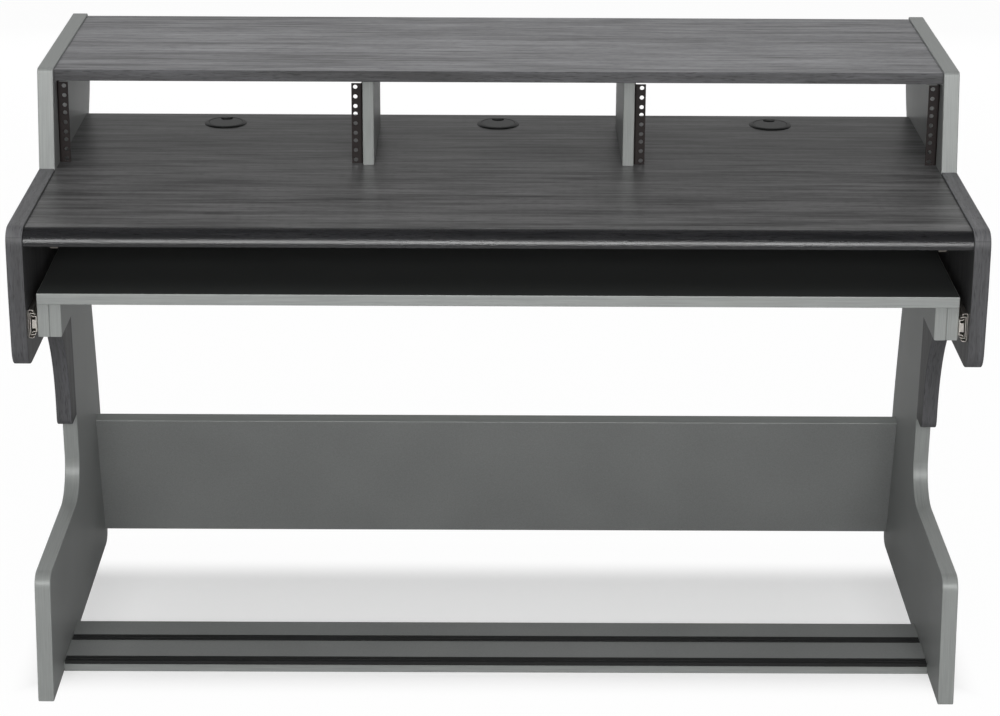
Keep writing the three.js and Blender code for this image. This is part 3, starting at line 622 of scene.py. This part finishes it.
make_camera()
make_boards()
make_small_parts()
make_slides()
make_grommets()


# The stage: a pale floor, a white background and soft light

FLOOR_REACH = 9.0               # half the floor's width
FLOOR_PAINT = 0.6               # how much light the floor's paint gives back
FLOOR_LIFT = 0.46               # the glow that the camera sees on it
FLOOR_MIRRORED = (0.0, 0.08)    # the glow that gloss sees on it, under the desk and far behind it
MIRRORED_REACH = (1.3, 2.6)     # where along Y that glow starts, and where it is full
SHADOW_SIDE = (0.69, 0.79)      # where the shadow starts and ends its fade to white, beside the desk
SHADOW_FRONT = (-0.17, -0.27)
SHADOW_REAR = (0.17, 0.27)
WHITE_SHARE = 0.95              # how near to the background's white the floor round the desk comes
SKY_LEVEL = 0.02                # the light from all round
WALL_LEVEL = 0.55               # what gloss and metal see of the background at its brightest
# How that wall fades: the axis of a ray's direction, where along it the fade starts and ends, and the
# level at its start
WALL_FADES = (("Y", 0.0, 0.5, 0.1), ("Z", 0.68, 0.4, 0.1), ("Z", 0.06, 0.18, 0.25))


def mirrored_rays(tree, path):
    """The rays by which gloss, metal and glass show what stands round them."""
    return add_node(
        tree, "ShaderNodeMath",
        {0: path.outputs["Is Glossy Ray"], 1: path.outputs["Is Transmission Ray"]},
        operation="ADD").outputs[0]


def make_world():
    """A white background for the camera. The gloss and the metal show it as a pale wall behind the
    desk that fades out overhead and towards the floor."""
    world = bpy.data.worlds.new("studio")
    bpy.context.scene.world = world
    world.use_nodes = True
    tree = world.node_tree
    tree.nodes.clear()
    place = add_node(tree, "ShaderNodeTexCoord")
    direction = add_node(tree, "ShaderNodeSeparateXYZ", {0: place.outputs["Generated"]})
    wall = WALL_LEVEL
    for axis, start, end, level in WALL_FADES:
        fade = add_node(tree, "ShaderNodeMapRange", {
            "Value": direction.outputs[axis], "From Min": start, "From Max": end, "To Min": level})
        wall = add_node(
            tree, "ShaderNodeMath", {0: fade.outputs[0], 1: wall}, operation="MULTIPLY").outputs[0]
    path = add_node(tree, "ShaderNodeLightPath")
    lit = add_node(
        tree, "ShaderNodeMath", {0: wall, 1: mirrored_rays(tree, path), 2: SKY_LEVEL},
        operation="MULTIPLY_ADD")
    strength = add_node(
        tree, "ShaderNodeMath", {0: lit.outputs[0], 1: path.outputs["Is Camera Ray"]},
        operation="MAXIMUM")
    background = add_node(tree, "ShaderNodeBackground", {
        "Color": (1, 1, 1, 1), "Strength": strength.outputs[0]})
    add_node(tree, "ShaderNodeOutputWorld", {"Surface": background.outputs[0]})


def make_floor():
    """A pale floor that keeps the shadow under the desk and meets the white background."""
    material, tree = new_tree("painted_studio_floor")
    place = add_node(tree, "ShaderNodeTexCoord")
    spot = add_node(tree, "ShaderNodeSeparateXYZ", {0: place.outputs["Object"]})
    aside = add_node(tree, "ShaderNodeMath", {0: spot.outputs["X"]}, operation="ABSOLUTE").outputs[0]
    along = spot.outputs["Y"]
    white_share = 0.0
    for value, (start, end) in ((aside, SHADOW_SIDE), (along, SHADOW_FRONT), (along, SHADOW_REAR)):
        fade = add_node(
            tree, "ShaderNodeMapRange",
            {"Value": value, "From Min": start, "From Max": end, "To Max": WHITE_SHARE},
            interpolation_type="SMOOTHSTEP")
        white_share = add_node(
            tree, "ShaderNodeMath", {0: fade.outputs[0], 1: white_share},
            operation="MAXIMUM").outputs[0]
    path = add_node(tree, "ShaderNodeLightPath")
    mirrored_level = add_node(tree, "ShaderNodeMapRange", {
        "Value": along, "From Min": MIRRORED_REACH[0], "From Max": MIRRORED_REACH[1],
        "To Min": FLOOR_MIRRORED[0], "To Max": FLOOR_MIRRORED[1]})
    mirrored_glow = add_node(
        tree, "ShaderNodeMath", {0: mirrored_rays(tree, path), 1: mirrored_level.outputs[0]},
        operation="MULTIPLY")
    glow_level = add_node(
        tree, "ShaderNodeMath",
        {0: path.outputs["Is Camera Ray"], 1: FLOOR_LIFT, 2: mirrored_glow.outputs[0]},
        operation="MULTIPLY_ADD")
    paint = add_node(
        tree, "ShaderNodeBsdfDiffuse", {"Color": (FLOOR_PAINT, FLOOR_PAINT, FLOOR_PAINT, 1)})
    glow = add_node(tree, "ShaderNodeEmission", {"Strength": glow_level.outputs[0]})
    near = add_node(tree, "ShaderNodeAddShader", {0: paint.outputs[0], 1: glow.outputs[0]})
    white = add_node(tree, "ShaderNodeEmission", {"Strength": 1.0})
    seen_white = add_node(
        tree, "ShaderNodeMath", {0: white_share, 1: path.outputs["Is Camera Ray"]},
        operation="MULTIPLY")
    whole = add_node(tree, "ShaderNodeMixShader", {
        0: seen_white.outputs[0], 1: near.outputs[0], 2: white.outputs[0]})
    add_node(tree, "ShaderNodeOutputMaterial", {"Surface": whole.outputs[0]})
    shape = bmesh.new()
    bmesh.ops.create_grid(shape, x_segments=2, y_segments=2, size=FLOOR_REACH)
    mesh = bpy.data.meshes.new("floor")
    shape.to_mesh(mesh)
    shape.free()
    mesh.materials.append(material)
    floor = bpy.data.objects.new("floor", mesh)
    bpy.context.scene.collection.objects.link(floor)


# Softboxes: where each stands, its width and height, and its power in watts
KEY = "key_softbox"
SOFTBOXES = {
    KEY: ((0.0, -4.1, 1.95), (3.4, 1.2), 106),
    "high_softbox": ((0.0, -1.9, 3.9), (4.5, 2.4), 54),
    "overhead_softbox": ((0.0, 0.4, 3.7), (4.5, 3.6), 23),
    "back_softbox": ((0.0, 2.6, 3.2), (4.5, 2.4), 15),
    "rear_softbox": ((0.0, 4.4, 0.85), (3.6, 1.0), 48),
    "side_softbox_left": ((-4.2, 0.2, 1.1), (2.4, 1.4), 30),
    "side_softbox_right": ((4.2, 0.2, 1.1), (2.4, 1.4), 30),
}
DESK_MIDDLE = (0.0, 0.0, 0.55)


def make_softbox(name, place, size, power):
    """A softbox that faces the desk. Only the key is mirrored in the gloss, where the world's wall
    stands for the others."""
    data = bpy.data.lights.new(name, "AREA")
    data.shape = "RECTANGLE"
    data.size, data.size_y = size
    data.energy = power
    light = bpy.data.objects.new(name, data)
    light.location = place
    light.rotation_euler = (Vector(place) - Vector(DESK_MIDDLE)).to_track_quat("Z", "Y").to_euler()
    light.visible_glossy = name == KEY
    bpy.context.scene.collection.objects.link(light)


make_world()
make_floor()
for name, (place, size, power) in SOFTBOXES.items():
    make_softbox(name, place, size, power)

bpy.context.scene.view_settings.view_transform = "Standard"
